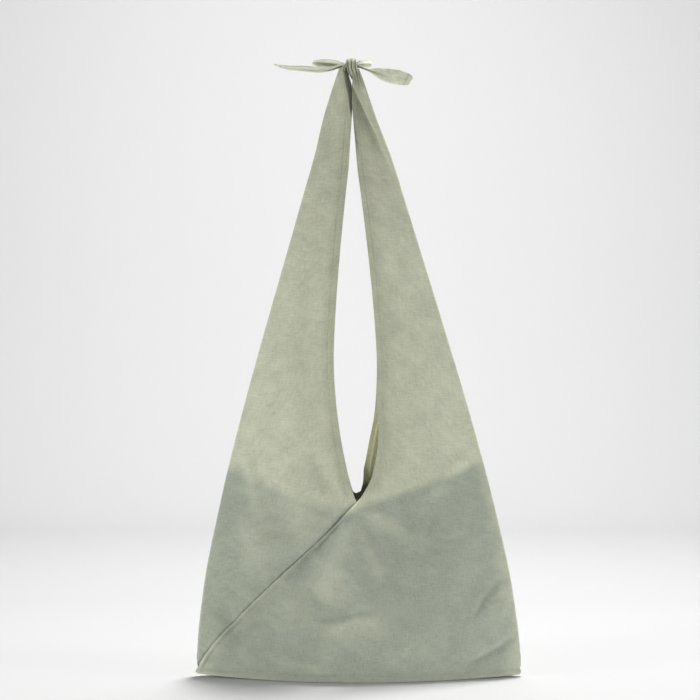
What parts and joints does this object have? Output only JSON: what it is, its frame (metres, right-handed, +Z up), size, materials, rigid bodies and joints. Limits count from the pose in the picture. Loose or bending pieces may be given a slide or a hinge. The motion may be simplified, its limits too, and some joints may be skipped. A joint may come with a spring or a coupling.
{
  "type": "knot bag",
  "caption": "Soft linen pouch bag whose folded straps rise from a pointed mouth and are tied together in a small bow to make the carrying loop.",
  "frame": {"origin": "the carrying point, in the crotch of the straps just under the knot", "axes": "+Z up, +X to the right as seen from the front, +Y to the back"},
  "size_m": [0.3609, 0.0968, 0.6831],
  "materials": {
    "linen": "matte woven linen, pale sage",
    "lining": "matte woven lining, darker sage",
    "facing": "matte bias strip"
  },
  "bodies": {
    "handle": {"left_strap": "linen", "right_strap": "linen", "left_front_strap_facing": "facing", "left_back_strap_facing": "facing", "right_front_strap_facing": "facing", "right_back_strap_facing": "facing", "left_knot_turn": "linen", "right_knot_turn": "linen"},
    "pouch": {"left_cloth": "linen", "right_cloth": "linen", "base_panel": "linen", "front_lining": "lining", "back_lining": "lining", "left_front_mouth_facing": "facing", "left_back_mouth_facing": "facing", "right_front_mouth_facing": "facing", "right_back_mouth_facing": "facing"},
    "left_tail": {"left_tail": "linen"},
    "right_tail": {"right_tail": "linen"},
    "left_bow_loop": {"left_bow_loop": "linen"},
    "right_bow_loop": {"right_bow_loop": "linen"}
  },
  "joints": [
    {"name": "pouch_fold", "type": "hinge", "parent": "handle", "child": "pouch", "pos_m": [0, 0, -0.377], "axis": [1, 0, 0], "range_deg": [-90, 90]},
    {"name": "left_tail_lift", "type": "hinge", "parent": "handle", "child": "left_tail", "pos_m": [-0.01095, -0.002, 0.013], "axis": [0, 1, 0], "range_deg": [-45, 30]},
    {"name": "right_tail_lift", "type": "hinge", "parent": "handle", "child": "right_tail", "pos_m": [0.01065, -0.002, 0.013], "axis": [0, -1, 0], "range_deg": [-35, 40]},
    {"name": "left_bow_loop_lift", "type": "hinge", "parent": "handle", "child": "left_bow_loop", "pos_m": [-0.00455, 0.007, 0.013], "axis": [0.4536, 0.8912, 0], "range_deg": [-35, 25]},
    {"name": "right_bow_loop_lift", "type": "hinge", "parent": "handle", "child": "right_bow_loop", "pos_m": [0.00425, 0.007, 0.013], "axis": [0.8776, -0.4794, 0], "range_deg": [-35, 25]}
  ]
}
